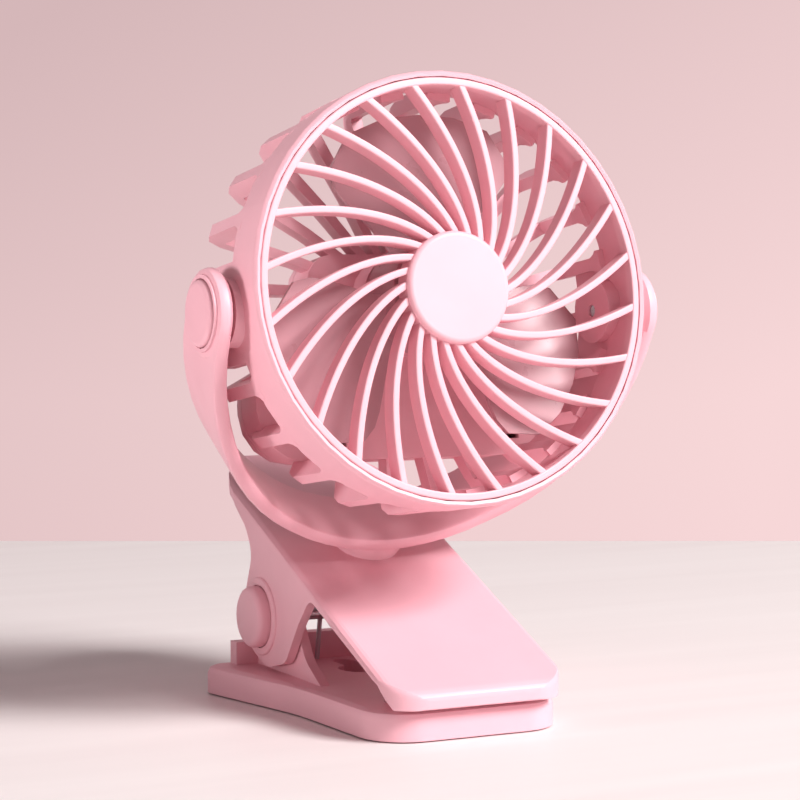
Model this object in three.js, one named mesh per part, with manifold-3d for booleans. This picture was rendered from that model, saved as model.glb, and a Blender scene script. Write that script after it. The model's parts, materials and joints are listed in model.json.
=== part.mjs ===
// A small clip-on desk fan: a spring clip, a U-shaped yoke that swivels on it,
// and a drum head that tilts in the yoke.
// Millimetres, +Z up. The front of the fan looks toward -Y and the hinge axes run along X.
// The origin is the centre of the clip base's underside.
import * as THREE from 'three';
import { mergeVertices } from 'three/addons/utils/BufferGeometryUtils.js';
import Module from 'manifold-3d';

const wasm = await Module();
wasm.setup();

// ---------------------------------------------------------------- driving dimensions

const FIT = 0.3;                     // clearance between pieces that touch
const BEARING = 0.4;                 // running clearance of a turning face
const THROUGH = 40;                  // half length of a bore that passes right through
const DEG = Math.PI / 180;
const ROUND_STEPS = 48;              // facets of the drum's circles
const MID_STEPS = 24;                // facets of hubs, caps and the motor
const SMALL_STEPS = 16;              // facets of screws, pins and caps

// base plate of the clip
const BASE_LENGTH = 95.5;
const BASE_FRONT_HALF = 27.6;
const BASE_WAIST_HALF = 29.6;        // half width where the sides begin to flare
const BASE_REAR_HALF = 40;
const BASE_FLARE_RADIUS = 90;
const BASE_THICK = 8;
const BASE_FRONT_RADIUS = 13;
const BASE_REAR_RADIUS = 6;
const BASE_EDGE = 2;                 // rounding of the top edge
const EAR_INNER = 20.9;              // x of the ears' inner faces
const EAR_THICK = 2.8;
const EAR_TOP_RADIUS = 9.5;
const EAR_FRONT = -33.5;             // foot of the ear's front slope, from the hinge
const EAR_REAR = 14;
const EAR_SLOPE = [[-18.5, -1.5, 8], [-24, -9.6, 12]];   // y, z from the hinge, and corner radius
const WALL_INSET = 4.75;             // rear stop wall's centre line before the base's rear end
const WALL_THICK = 4.5;
const WALL_HALF = 30.5;
const WALL_TOP = 14.5;
const WALL_STEP_HALF = 9;
const WALL_STEP_TOP = 15.9;
const KEYHOLE_Y = 20;
const KEYHOLE_RADIUS = 7.4;
const KEYHOLE_SLOT_HALF = 3;
const KEYHOLE_SLOT_END = 37;
const PAD_HALF = 18;                 // gripping pads
const PAD_INSET = 4.75;              // behind the base's front end
const PAD_LENGTH = 14;
const PAD_POCKET = 1;
const JAW_PAD_THICK = 2;
const LEDGE_THICK = 2;
const LEDGE_WEB_X = 16;              // outer ribs from the ledge up to the plate
const LEDGE_WEB_HALF = 1;
const PAD_PROUD = 0.5;
const FOOT_HALF = 16;
const FOOT_THICK = 1.4;
const FOOT_PROUD = 0.4;              // underside of the base above the table
const FOOT_FRONT_INSET = 9.75;       // front foot behind the base's front end
const FOOT_REAR_INSET = 1.75;        // rear foot before the base's rear end
const FOOT_TO_KEYHOLE = 2;

// clip hinge
const HINGE_Y = 31.75;
const HINGE_Z = 23;
const PIN_RADIUS = 2;
const BUTTON_RADIUS = 8.7;
const BUTTON_FACE_RADIUS = 7.1;
const BUTTON_HEIGHT = 4.2;

// upper jaw, drawn in side view about the hinge: p along the plate, q square to it
const PLATE_PITCH = 23;              // degrees that the plate climbs to the rear
const PLATE_TOP = 24;
const PLATE_THICK = 2.6;
const JAW_HALF = 26.8;
const CHEEK_THICK = 2.6;
const HANDLE_END_P = 54;
const HANDLE_CHEEK_P = 31;           // where the cheeks run out under the handle
const LIP_FRONT_Y = -51.4;           // world y of the lip's front face
const LIP_BOTTOM_Z = 9;
const LIP_WALL = 4;
const LIP_ROUNDING = 3.6;
const PLATE_EDGE = 2;                // rounding of the plate's long edges
const JAW_FRONT_RADIUS = 11;
const JAW_REAR_RADIUS = 25;
const JAW_REACH = 60;                // beyond the jaw on every side, for its cutting shapes
const JAW_UNDERSIDE = [              // p, q and corner radius, from the lip back to the handle
  [-71.5, 21.8, 2],
  [-27.2, 21.2, 4],
  [-23.4, 11, 6],
  [-20, -3.5, 7],
  [-9.5, -11.2, 10],
  [6, -12.2, 11],
  [12.3, -3, 9],
  [12.3, 13.6, 7],
  [19.5, 18.3, 12],
];
const HUB_P = -4.07;                 // swivel centre along the plate
const SEAT_RADIUS = 9.2;
const SEAT_HEIGHT = 2.4;
const SEAT_DEPTH = 4;                // face for the washer, below the plate's top

// yoke, in its own frame: z up the swivel axis from the plate's top face
const SWIVEL_LEAN = 30.5;            // degrees that the swivel axis leans to the front
const TILT_HEIGHT = 77.03;           // tilt axis above the plate
const YOKE_BOTTOM = 5.3;             // underside of the bow above the plate
const YOKE_THICK = 4;
const ARM_GAP = 3.3;                 // between the drum and the arms
const ARM_HALF = 11.7;               // half width of the band at the pivots
const BOW_HALF = 10.6;               // half width of the band at its lowest point
const ARM_SWELL = 2.1;               // how far the band swells between the two
const BAND_EDGE = 1.3;               // rounding of the band's edges
const FOOT_RADIUS = 9.8;
const CAP_RADIUS = 8.7;
const CAP_FACE_RADIUS = 7.3;
const CAP_RECESS = 1.6;
const CAP_PROUD = 2;
const ARM_RING_RADIUS = 10;          // low step round the cap
const ARM_RING_RISE = 0.7;
const SWIVEL_SCREW_RADIUS = 2;
const SWIVEL_SCREW_HEAD = 4;
const SWIVEL_WASHER_RADIUS = 6.5;
const TILT_SCREW_RADIUS = 1.5;
const TILT_SCREW_HEAD = 3.2;
const TILT_WASHER_RADIUS = 4.8;
const SCREW_LOOSE = 0.2;             // radial play of a screw in its hole

// head, in the drum's frame: y to the rear from the front plane, drum axis along y
const HEAD_TILT = 8.2;               // degrees that the head looks up
const TILT_BACK = 16.8;              // tilt axis behind the front plane
const TILT_DROP = 4.25;              // tilt axis below the drum's axis
const DRUM_RADIUS = 57.7;
const SEAM_RADIUS = 56;              // rim that holds the grille
const DRUM_WALL = 3.1;
const BAND_DEPTH = 14.5;
const CAGE_DEPTH = 41;
const RIB_COUNT = 24;
const RIB_PHASE = 9.6;               // degrees of the first rear rib
const RIB_ROOT_WIDTH = 6.8;          // where a rib leaves the band
const RIB_WIDTH = 3.5;
const RIB_END_WIDTH = 2.2;
const RIB_DEPTH = 5;
const RIB_TURN = 3.4;                // centre-line radius of the rib's rear corner
const RIB_SWIRL = 5;                 // degrees of turn per e-fold of radius
const BOSS_RADIUS = 9;
const GRILLE_THICK = 3;
const GRILLE_RING = 2.5;
const SPOKE_COUNT = 24;
const SPOKE_WIDTH = 2.2;
const SPOKE_DEPTH = 5;
const SPOKE_PHASE = 8.2;             // degrees of the first spoke at its reference radius
const SPOKE_REFERENCE = 52.1;
const SPOKE_SWIRL = 32.2;            // degrees of turn per e-fold of radius
const CAP_DISC_RADIUS = 14.9;
const CAP_DISC_PROUD = 1.4;
const CAP_DISC_BEVEL = 1.6;

// motor and rotor
const MOTOR_RADIUS = 12;
const MOTOR_FRONT = 15;
const MOTOR_REAR = 34;
const MOTOR_CUP_RADIUS = 14.4;
const SHAFT_RADIUS = 1;
const ROTOR_HUB_RADIUS = 15;
const ROTOR_FRONT = 8.5;
const ROTOR_REAR = 24;
const ROTOR_WALL = 1.6;
const BLADE_COUNT = 3;
const BLADE_PHASE = 90;              // degrees of the first blade's middle
const BLADE_TIP = 49;
const BLADE_SPAN_ROOT = 54;          // degrees that a blade covers at the hub
const BLADE_SPAN = 76;               // and at its widest
const BLADE_RISE = 13;               // from its front edge to its rear edge
const BLADE_THICK = 1.5;
const BLADE_MID = 18;

// rear pod with the cell and the electronics
const POD_HALF = 44;
const POD_BOTTOM = -42;
const POD_RADIUS = 14;
const POD_SHOULDER = -21;
const NECK_HALF = 27;                // upper part over the motor
const NECK_BOTTOM = -10;
const POD_TOP = 14;
const NECK_RADIUS = 8;
const POD_WALL = 1.8;
const POD_FRONT = 35;
const POD_SPLIT = 45;
const POD_REAR = 50.5;
const POD_VENTS = [[-21.6, -35.4, 6.6, 5.8], [32.6, -36.2, 5, 2.8]];     // x, z, width, height
const MOUNT_RADIUS = 15;
const MOUNT_THICK = 2.6;
const CELL_WIDTH = 42;
const CELL_X = 7;                    // set to one side, clear of the vents
const CELL_HEIGHT = 24;
const CELL_THICK = 7.8;
const CELL_BOTTOM = -39.4;
const TAPE_THICK = 0.8;
const BOARD_HALF = 23;
const BOARD_BOTTOM = -11;
const BOARD_TOP = 5;
const BOARD_FRONT = 40;
const BOARD_THICK = 1.6;
const STANDOFF_X = 17;
const STANDOFF_RADIUS = 2;
const SWITCH_HEIGHT = -3;
const LEAD_RADIUS = 0.6;
const CELL_LEAD_X = 8;
const MOTOR_LEAD_X = 3;
const KEY_RADIUS = 6;
const KEY_PROUD = 1;
const KEY_TRAVEL_GAP = 0.6;
const LED_X = 13;
const LED_RADIUS = 1.5;
const SOCKET_HEIGHT = -3;

// ---------------------------------------------------------------- materials

const plastic = (color, roughness) => new THREE.MeshStandardMaterial({ color, roughness, metalness: 0 });
const metal = (color, roughness) => new THREE.MeshStandardMaterial({ color, roughness, metalness: 1 });
const PINK = 0xf3b3c0;
const PALE = 0xf6c3cd;
const GRIP = 0xe79aaa;
const WHITE = 0xf0f0f0;
const RED = 0xc03a3a;
const BLACK = 0x202022;
const STEEL = 0xb9bcc2;

// ---------------------------------------------------------------- geometry helpers

const V2 = (x, y) => new THREE.Vector2(x, y);
const V3 = (x, y, z) => new THREE.Vector3(x, y, z);

function signedVolume(geometry) {
  const at = geometry.attributes.position;
  const order = geometry.index.array;
  const [a, b, c] = [V3(), V3(), V3()];
  let total = 0;
  for (let i = 0; i < order.length; i += 3) {
    a.fromBufferAttribute(at, order[i]);
    b.fromBufferAttribute(at, order[i + 1]);
    c.fromBufferAttribute(at, order[i + 2]);
    total += a.dot(b.cross(c)) / 6;
  }
  return total;
}

// One closed skin with its faces pointing out.
function closed(geometry) {
  const bare = geometry.clone();
  bare.deleteAttribute('normal');
  bare.deleteAttribute('uv');
  const merged = mergeVertices(bare, 1e-4);
  const order = merged.index.array;
  const kept = [];
  for (let i = 0; i < order.length; i += 3) {
    const [a, b, c] = [order[i], order[i + 1], order[i + 2]];
    if (a !== b && b !== c && a !== c) kept.push(a, b, c);
  }
  merged.setIndex(kept);
  if (signedVolume(merged) < 0) {
    for (let i = 0; i < kept.length; i += 3) [kept[i], kept[i + 1]] = [kept[i + 1], kept[i]];
    merged.setIndex(kept);
  }
  return merged;
}

function toSolid(geometry) {
  const skin = closed(geometry);
  const vertProperties = Float32Array.from(skin.attributes.position.array);
  const triVerts = Uint32Array.from(skin.index.array);
  return new wasm.Manifold(new wasm.Mesh({ numProp: 3, vertProperties, triVerts }));
}

function toGeometry(solid) {
  const skin = solid.getMesh();
  const geometry = new THREE.BufferGeometry();
  geometry.setAttribute('position', new THREE.BufferAttribute(Float32Array.from(skin.vertProperties), 3));
  geometry.setIndex(new THREE.BufferAttribute(Uint32Array.from(skin.triVerts), 1));
  return closed(geometry);
}

const join = (...geometries) => toGeometry(geometries.map(toSolid).reduce((a, b) => a.add(b)));
const overlapOf = (a, b) => toGeometry(toSolid(a).intersect(toSolid(b)));

function cut(body, ...tools) {
  return toGeometry(tools.map(toSolid).reduce((rest, tool) => rest.subtract(tool), toSolid(body)));
}

// Closed outline through corners [x, y, radius], with an arc at each rounded corner.
function outline(corners, steps = 6) {
  const shape = [];
  corners.forEach(([x, y, radius = 0], i) => {
    const corner = V2(x, y);
    if (radius === 0) {
      shape.push(corner);
      return;
    }
    const [bx, by] = corners[(i + corners.length - 1) % corners.length];
    const [nx, ny] = corners[(i + 1) % corners.length];
    const back = V2(bx - x, by - y).normalize();
    const next = V2(nx - x, ny - y).normalize();
    const half = Math.acos(THREE.MathUtils.clamp(back.dot(next), -1, 1)) / 2;
    const reach = radius / Math.tan(half);
    const middle = back.clone().add(next).normalize().multiplyScalar(radius / Math.sin(half)).add(corner);
    const start = corner.clone().addScaledVector(back, reach).sub(middle);
    const end = corner.clone().addScaledVector(next, reach).sub(middle);
    const sweep = Math.atan2(start.cross(end), start.dot(end));
    for (let k = 0; k <= steps; k++) {
      shape.push(start.clone().rotateAround(V2(0, 0), (sweep * k) / steps).add(middle));
    }
  });
  return new THREE.Shape(shape);
}

const rectangle = (x0, y0, x1, y1, r = 0, steps = 6) =>
  outline([[x0, y0, r], [x1, y0, r], [x1, y1, r], [x0, y1, r]], steps);

function disc(radius, x = 0, y = 0, steps = SMALL_STEPS) {
  const ring = [];
  for (let k = 0; k < steps; k++) {
    const turn = (2 * Math.PI * k) / steps;
    ring.push(V2(x + radius * Math.cos(turn), y + radius * Math.sin(turn)));
  }
  return new THREE.Shape(ring);
}

// Prism of a shape drawn in (x, y), from z0 to z1.
function prismZ(shape, z0, z1, bevel = 0) {
  const options = { depth: z1 - z0 - 2 * bevel, bevelEnabled: bevel > 0, steps: 1 };
  Object.assign(options, { bevelSize: bevel, bevelThickness: bevel, bevelOffset: -bevel, bevelSegments: 2 });
  return new THREE.ExtrudeGeometry(shape, options).translate(0, 0, z0 + bevel);
}

// Prism of a shape drawn in (y, z), from x0 to x1.
function prismX(shape, x0, x1) {
  const turn = new THREE.Matrix4().makeBasis(V3(0, 1, 0), V3(0, 0, 1), V3(1, 0, 0));
  return prismZ(shape, x0, x1).applyMatrix4(turn);
}

// Prism of a shape drawn in (x, z), from y0 to y1.
function prismY(shape, y0, y1, bevel = 0) {
  const turn = new THREE.Matrix4().makeBasis(V3(1, 0, 0), V3(0, 0, 1), V3(0, -1, 0));
  return prismZ(shape, -y1, -y0, bevel).applyMatrix4(turn);
}

// Body of revolution about the y axis through profile points [radius, y].
const turnY = (profile, steps = SMALL_STEPS) =>
  new THREE.LatheGeometry(profile.map(([r, y]) => V2(r, y)), steps);
const turnZ = (profile, steps) => turnY(profile, steps).rotateX(Math.PI / 2);
const turnX = (profile, steps) => turnY(profile, steps).rotateZ(-Math.PI / 2);

const rod = (radius, a, b) => [[0, a], [radius, a], [radius, b], [0, b]];
const tube = (inner, outer, a, b) => [[inner, a], [outer, a], [outer, b], [inner, b], [inner, a]];

// A bar whose centre and section are given along its length by place(s, a, b),
// with s from 0 to 1 and a, b from -0.5 to 0.5 across the section.
function bar(steps, place, across = 1) {
  const box = new THREE.BoxGeometry(1, 1, 1, steps, across, 1);
  const at = box.attributes.position;
  for (let i = 0; i < at.count; i++) {
    const spot = place(at.getX(i) + 0.5, at.getY(i), at.getZ(i));
    at.setXYZ(i, spot.x, spot.y, spot.z);
  }
  return box;
}

// A bar of any section: place(s, k) gives ring point k of the section at s, and k = -1 the middle of an end.
function strand(steps, ring, place) {
  const skin = new THREE.CylinderGeometry(1, 1, 1, ring, steps);
  const at = skin.attributes.position;
  for (let i = 0; i < at.count; i++) {
    const turn = Math.atan2(at.getX(i), at.getZ(i)) / (2 * Math.PI);
    const inside = Math.hypot(at.getX(i), at.getZ(i)) < 0.5;
    const k = inside ? -1 : (Math.round(turn * ring) + ring) % ring;
    const spot = place(at.getY(i) + 0.5, k);
    at.setXYZ(i, spot.x, spot.y, spot.z);
  }
  return skin;
}

// Point at a radius and an angle in the drum's frame, at depth y, moved along the rim and outward.
function polar(radius, turn, y, along = 0, outward = 0) {
  const [c, s] = [Math.cos(turn), Math.sin(turn)];
  return V3((radius + outward) * c - along * s, y, (radius + outward) * s + along * c);
}

function piece(name, geometry, material, place = V3(0, 0, 0)) {
  const mesh = new THREE.Mesh(closed(geometry), material);
  mesh.name = name;
  mesh.position.copy(place);
  return mesh;
}

const mirrored = (geometry) => geometry.clone().scale(-1, 1, 1);

// ---------------------------------------------------------------- clip base

const BASE_FRONT_Y = -BASE_LENGTH / 2;
const BASE_REAR_Y = BASE_LENGTH / 2;
const WALL_Y = BASE_REAR_Y - WALL_INSET;
const PAD_FRONT_Y = BASE_FRONT_Y + PAD_INSET;
const PAD_REAR_Y = PAD_FRONT_Y + PAD_LENGTH;
const FOOT_SPANS = [
  [BASE_FRONT_Y + FOOT_FRONT_INSET, KEYHOLE_Y - KEYHOLE_RADIUS - FOOT_TO_KEYHOLE],
  [KEYHOLE_SLOT_END + FOOT_TO_KEYHOLE, BASE_REAR_Y - FOOT_REAR_INSET],
];
const CHEEK_INNER = JAW_HALF - CHEEK_THICK;

function baseShape() {
  const half = [
    [BASE_FRONT_HALF, BASE_FRONT_Y, BASE_FRONT_RADIUS],
    [BASE_WAIST_HALF, 0, BASE_FLARE_RADIUS],
    [BASE_REAR_HALF, BASE_REAR_Y, BASE_REAR_RADIUS],
  ];
  return outline([...half, ...half.map(([x, y, radius]) => [-x, y, radius]).reverse()], 7);
}

function earProfile() {
  const foot = HINGE_Z - BASE_THICK + 1;
  return outline([
    [EAR_FRONT, -foot], [EAR_REAR, -foot], [EAR_TOP_RADIUS, 0, 8],
    [EAR_TOP_RADIUS, EAR_TOP_RADIUS, 8], [-EAR_TOP_RADIUS - 4, EAR_TOP_RADIUS, 6],
    ...EAR_SLOPE, [EAR_FRONT, -foot + 1.2],
  ]).getPoints().map((point) => point.add(V2(HINGE_Y, HINGE_Z)));
}

function basePlate() {
  const slab = cut(
    prismZ(baseShape(), -BASE_EDGE - 1, BASE_THICK, BASE_EDGE),
    new THREE.BoxGeometry(200, 200, 20).translate(0, 0, FOOT_PROUD - 10),
  );
  const wall = prismX(rectangle(WALL_Y - WALL_THICK / 2, BASE_THICK - 1, WALL_Y + WALL_THICK / 2, WALL_TOP),
    -WALL_HALF, WALL_HALF);
  const step = prismX(rectangle(WALL_Y - WALL_THICK / 2, BASE_THICK - 1, WALL_Y + WALL_THICK / 2,
    WALL_STEP_TOP), -WALL_STEP_HALF, WALL_STEP_HALF);
  const ear = prismX(new THREE.Shape(earProfile()), EAR_INNER, EAR_INNER + EAR_THICK);
  const slot = rectangle(-KEYHOLE_SLOT_HALF, KEYHOLE_Y, KEYHOLE_SLOT_HALF, KEYHOLE_SLOT_END,
    KEYHOLE_SLOT_HALF - 0.1);
  const feet = FOOT_SPANS.map(([front, rear]) => prismZ(
    rectangle(-FOOT_HALF - FIT, front - FIT, FOOT_HALF + FIT, rear + FIT), -1, FOOT_THICK + FIT));
  return cut(
    join(slab, wall, step, ear, mirrored(ear)),
    prismZ(disc(KEYHOLE_RADIUS, 0, KEYHOLE_Y), -1, BASE_THICK + 1),
    prismZ(slot, -1, BASE_THICK + 1),
    prismZ(rectangle(-PAD_HALF - FIT, PAD_FRONT_Y - FIT, PAD_HALF + FIT, PAD_REAR_Y + FIT, 1.5),
      BASE_THICK - PAD_POCKET, BASE_THICK + 1),
    turnX(rod(PIN_RADIUS + SCREW_LOOSE, -THROUGH, THROUGH)).translate(0, HINGE_Y, HINGE_Z),
    ...feet,
  );
}

function basePad() {
  const floor = BASE_THICK - PAD_POCKET + FIT;
  const top = BASE_THICK + PAD_PROUD;
  return prismZ(rectangle(-PAD_HALF, PAD_FRONT_Y, PAD_HALF, PAD_REAR_Y, 1.3), floor, top);
}

const clipPin = () => turnX(rod(PIN_RADIUS, -JAW_HALF + FIT, JAW_HALF - FIT));
const footPad = ([front, rear]) => prismZ(rectangle(-FOOT_HALF, front, FOOT_HALF, rear), 0, FOOT_THICK);

// ---------------------------------------------------------------- clip spring

const SPRING_COIL_RADIUS = 4.1;
const SPRING_WIRE_RADIUS = 0.7;
const SPRING_PITCH = 2.5;
const SPRING_TURNS = 5;
const BASE_LEG = { angle: -80 * DEG, length: 15.5 };
const HANDLE_LEG = { angle: 75 * DEG, length: 29.3 };

// Wire of a torsion spring: a leg to the rear wall, the coil round the pin, and a leg to the handle.
class SpringWire extends THREE.Curve {
  constructor() {
    super();
    this.start = BASE_LEG.angle + Math.PI / 2;
    this.end = HANDLE_LEG.angle - Math.PI / 2 + 2 * Math.PI * SPRING_TURNS;
    this.coilLength = (this.end - this.start) * SPRING_COIL_RADIUS;
    this.length = BASE_LEG.length + this.coilLength + HANDLE_LEG.length;
  }

  onCoil(turn) {
    const x = (SPRING_PITCH * (turn - (this.start + this.end) / 2)) / (2 * Math.PI);
    return V3(x, SPRING_COIL_RADIUS * Math.cos(turn), SPRING_COIL_RADIUS * Math.sin(turn));
  }

  getPoint(t, target = V3()) {
    const run = t * this.length;
    const leg = ({ angle }, reach) => V3(0, Math.cos(angle) * reach, Math.sin(angle) * reach);
    if (run < BASE_LEG.length) {
      return target.copy(this.onCoil(this.start)).add(leg(BASE_LEG, BASE_LEG.length - run));
    }
    const beyond = run - BASE_LEG.length - this.coilLength;
    if (beyond > 0) return target.copy(this.onCoil(this.end)).add(leg(HANDLE_LEG, beyond));
    return target.copy(this.onCoil(this.start + (run - BASE_LEG.length) / SPRING_COIL_RADIUS));
  }
}

// Least distance between stretches of the wire that are not neighbours, less the wire itself.
function springGap(wire) {
  const points = wire.getPoints(900);
  const apart = Math.ceil((points.length * 4 * SPRING_WIRE_RADIUS * 2) / wire.length);
  let least = Infinity;
  for (let i = 0; i < points.length; i++) {
    for (let j = i + apart; j < points.length; j++) least = Math.min(least, points[i].distanceTo(points[j]));
  }
  return least - 2 * SPRING_WIRE_RADIUS;
}

function clipSpring() {
  const wire = new SpringWire();
  console.log('clip spring, least gap to itself in mm:', springGap(wire).toFixed(2));
  const section = disc(SPRING_WIRE_RADIUS, 0, 0, 5);
  return new THREE.ExtrudeGeometry(section, { steps: 66, extrudePath: wire, bevelEnabled: false });
}

// ---------------------------------------------------------------- upper jaw

const PITCH = PLATE_PITCH * DEG;

// Side-view point of the jaw about the hinge, from plate coordinates p and q.
const onPlate = (p, q) => V2(
  p * Math.cos(PITCH) - q * Math.sin(PITCH),
  p * Math.sin(PITCH) + q * Math.cos(PITCH),
);

function jawProfile() {
  const lipFront = LIP_FRONT_Y - HINGE_Y;
  const lipBottom = LIP_BOTTOM_Z - HINGE_Z;
  const frontTop = PLATE_TOP / Math.cos(PITCH) + lipFront * Math.tan(PITCH);
  const at = (p, q, r = 0) => [onPlate(p, q).x, onPlate(p, q).y, r];
  return outline([
    [lipFront, lipBottom, 0.6],
    [lipFront + LIP_WALL, lipBottom, 0.6],
    ...JAW_UNDERSIDE.map(([p, q, r]) => at(p, q, r)),
    at(HANDLE_CHEEK_P, 20.8, 5),
    at(HANDLE_END_P, 20.8, 1.2),
    at(HANDLE_END_P, PLATE_TOP, 1.8),
    [lipFront, frontTop, LIP_ROUNDING],
  ], 4);
}

function upperJaw() {
  const side = prismX(jawProfile(), -JAW_HALF, JAW_HALF);
  const handleEnd = onPlate(HANDLE_END_P, PLATE_TOP).x;
  const reach = 3;
  const plan = (inset) => prismZ(outline([
    [-JAW_HALF + inset, LIP_FRONT_Y - HINGE_Y + inset, JAW_FRONT_RADIUS - inset],
    [JAW_HALF - inset, LIP_FRONT_Y - HINGE_Y + inset, JAW_FRONT_RADIUS - inset],
    [JAW_HALF - inset, handleEnd + reach - inset, JAW_REAR_RADIUS - inset],
    [-JAW_HALF + inset, handleEnd + reach - inset, JAW_REAR_RADIUS - inset],
  ], 7), -JAW_REACH, JAW_REACH);
  const across = outline([
    [-JAW_HALF, -JAW_REACH],
    [JAW_HALF, -JAW_REACH],
    [JAW_HALF, PLATE_TOP, PLATE_EDGE],
    [-JAW_HALF, PLATE_TOP, PLATE_EDGE],
  ], 3);
  const section = prismY(across, -2 * JAW_REACH, 2 * JAW_REACH).rotateX(PITCH);
  const cavityFront = LIP_FRONT_Y - HINGE_Y + LIP_WALL;
  const roof = PLATE_TOP - PLATE_THICK;
  const roofFront = roof / Math.cos(PITCH) + cavityFront * Math.tan(PITCH);
  const roofRear = onPlate(HANDLE_END_P - CHEEK_THICK, roof);
  const cavity = overlapOf(plan(CHEEK_THICK), prismX(outline([
    [cavityFront, -JAW_REACH],
    [roofRear.x, -JAW_REACH],
    [roofRear.x, roofRear.y, 1],
    [cavityFront, roofFront],
  ]), -CHEEK_INNER, CHEEK_INNER));
  const seat = turnZ(rod(SEAT_RADIUS, -SEAT_DEPTH, SEAT_HEIGHT), MID_STEPS);
  const screwHole = turnZ(rod(SWIVEL_SCREW_RADIUS + BEARING, -20, 20));
  const hub = onPlate(HUB_P, PLATE_TOP);
  const toHub = (geometry) => geometry.rotateX(SWIVEL_LEAN * DEG).translate(0, hub.x, hub.y);
  return cut(
    join(cut(overlapOf(overlapOf(side, plan(0)), section), cavity), toHub(seat), ...gripLedge()),
    toHub(screwHole),
    turnX(rod(PIN_RADIUS + BEARING, -THROUGH, THROUGH)),
  );
}

const JAW_PAD_BOTTOM = BASE_THICK + PAD_PROUD + BEARING - HINGE_Z;
const LEDGE_BOTTOM = JAW_PAD_BOTTOM + JAW_PAD_THICK + FIT;

// Ledge behind the lip that backs the gripping pad, with ribs up to the plate.
function gripLedge() {
  const front = LIP_FRONT_Y - HINGE_Y + LIP_WALL - 1;
  const rear = PAD_REAR_Y - HINGE_Y;
  const roof = (y) => (PLATE_TOP - 1) / Math.cos(PITCH) + y * Math.tan(PITCH);
  const ledge = prismX(rectangle(front, LEDGE_BOTTOM, rear, LEDGE_BOTTOM + LEDGE_THICK), -PAD_HALF, PAD_HALF);
  const web = outline([
    [front, LEDGE_BOTTOM],
    [rear, LEDGE_BOTTOM],
    [rear, roof(rear)],
    [front, roof(front)],
  ]);
  const webs = [-LEDGE_WEB_X, 0, LEDGE_WEB_X].map((x) => prismX(web, x - LEDGE_WEB_HALF, x + LEDGE_WEB_HALF));
  return [ledge, ...webs];
}

function jawPad() {
  const [front, rear] = [PAD_FRONT_Y, PAD_REAR_Y].map((y) => y - HINGE_Y);
  return prismX(rectangle(front, JAW_PAD_BOTTOM, rear, JAW_PAD_BOTTOM + JAW_PAD_THICK), -PAD_HALF, PAD_HALF);
}

const hingeButton = () => turnX([
  [0, 0],
  [BUTTON_RADIUS, 0],
  [BUTTON_RADIUS, BUTTON_HEIGHT - 1.6],
  [BUTTON_RADIUS - 0.5, BUTTON_HEIGHT - 0.7],
  [BUTTON_FACE_RADIUS, BUTTON_HEIGHT],
  [0, BUTTON_HEIGHT],
], MID_STEPS).translate(JAW_HALF + FIT, 0, 0);

// ---------------------------------------------------------------- yoke

const YOKE_HALF = DRUM_RADIUS + ARM_GAP + YOKE_THICK;
const ARM_INNER = YOKE_HALF - YOKE_THICK;

// Half of the bow's section, as corners in units of (width, thickness), rounded by the band's edge.
function bandSection(half) {
  const [w, t, r] = [half, YOKE_THICK / 2, BAND_EDGE];
  const bevel = r * (1 - Math.SQRT1_2);
  const corner = [[w - r, t], [w - bevel, t - bevel], [w, t - r]];
  const mirror = ([x, y]) => [-x, y];
  const upper = [...corner.map(mirror).reverse(), ...corner];
  return [...upper, ...upper.map(([x, y]) => [x, -y]).reverse()];
}

// The band runs from one pivot down the bow to the other.
// Its middle line is half an ellipse about the tilt axis.
function yokeBand() {
  const steps = 32;
  const reach = YOKE_HALF - YOKE_THICK / 2;
  const drop = TILT_HEIGHT - YOKE_BOTTOM - YOKE_THICK / 2;
  return strand(steps, bandSection(ARM_HALF).length, (s, k) => {
    const [c, h] = [Math.cos(Math.PI * (1 + s)), Math.sin(Math.PI * (1 + s))];
    const down = 1 - Math.abs(2 * s - 1);
    const swell = ARM_SWELL * Math.sin(Math.PI * Math.min(1, down / 0.7));
    const half = THREE.MathUtils.lerp(ARM_HALF, BOW_HALF, down) + swell;
    const [across, out] = k < 0 ? [0, 0] : bandSection(half)[k];
    const square = V2(drop * c, reach * h).normalize();
    return V3(reach * c + out * square.x, across, TILT_HEIGHT + drop * h + out * square.y);
  });
}

function yoke() {
  const foot = turnZ(rod(FOOT_RADIUS, SEAT_HEIGHT + FIT, YOKE_BOTTOM + YOKE_THICK - 0.4), MID_STEPS);
  const end = turnX([
    [0, ARM_INNER],
    [ARM_HALF - BAND_EDGE, ARM_INNER],
    [ARM_HALF, ARM_INNER + BAND_EDGE],
    [ARM_HALF, YOKE_HALF - BAND_EDGE],
    [ARM_HALF - 0.4, YOKE_HALF - 0.4],
    [ARM_HALF - BAND_EDGE, YOKE_HALF],
    [ARM_RING_RADIUS, YOKE_HALF],
    [ARM_RING_RADIUS, YOKE_HALF + ARM_RING_RISE],
    [0, YOKE_HALF + ARM_RING_RISE],
  ], MID_STEPS);
  const recess = turnX(rod(CAP_RADIUS + FIT, YOKE_HALF - CAP_RECESS, YOKE_HALF + 5), MID_STEPS);
  const bore = turnX(rod(TILT_SCREW_RADIUS + SCREW_LOOSE, ARM_INNER - 5, YOKE_HALF + 5));
  const headBore = turnX(rod(TILT_SCREW_HEAD + 0.5, YOKE_HALF - CAP_RECESS - 1, YOKE_HALF + 5));
  const toArm = (geometry) => geometry.translate(0, 0, TILT_HEIGHT);
  const both = (geometry) => [geometry, mirrored(geometry)];
  return cut(
    join(yokeBand(), foot, ...both(toArm(end))),
    ...both(toArm(recess)), ...both(toArm(bore)), ...both(toArm(headBore)),
    turnZ(rod(SWIVEL_SCREW_RADIUS + SCREW_LOOSE, -5, YOKE_BOTTOM + YOKE_THICK - 1)),
  );
}

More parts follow.
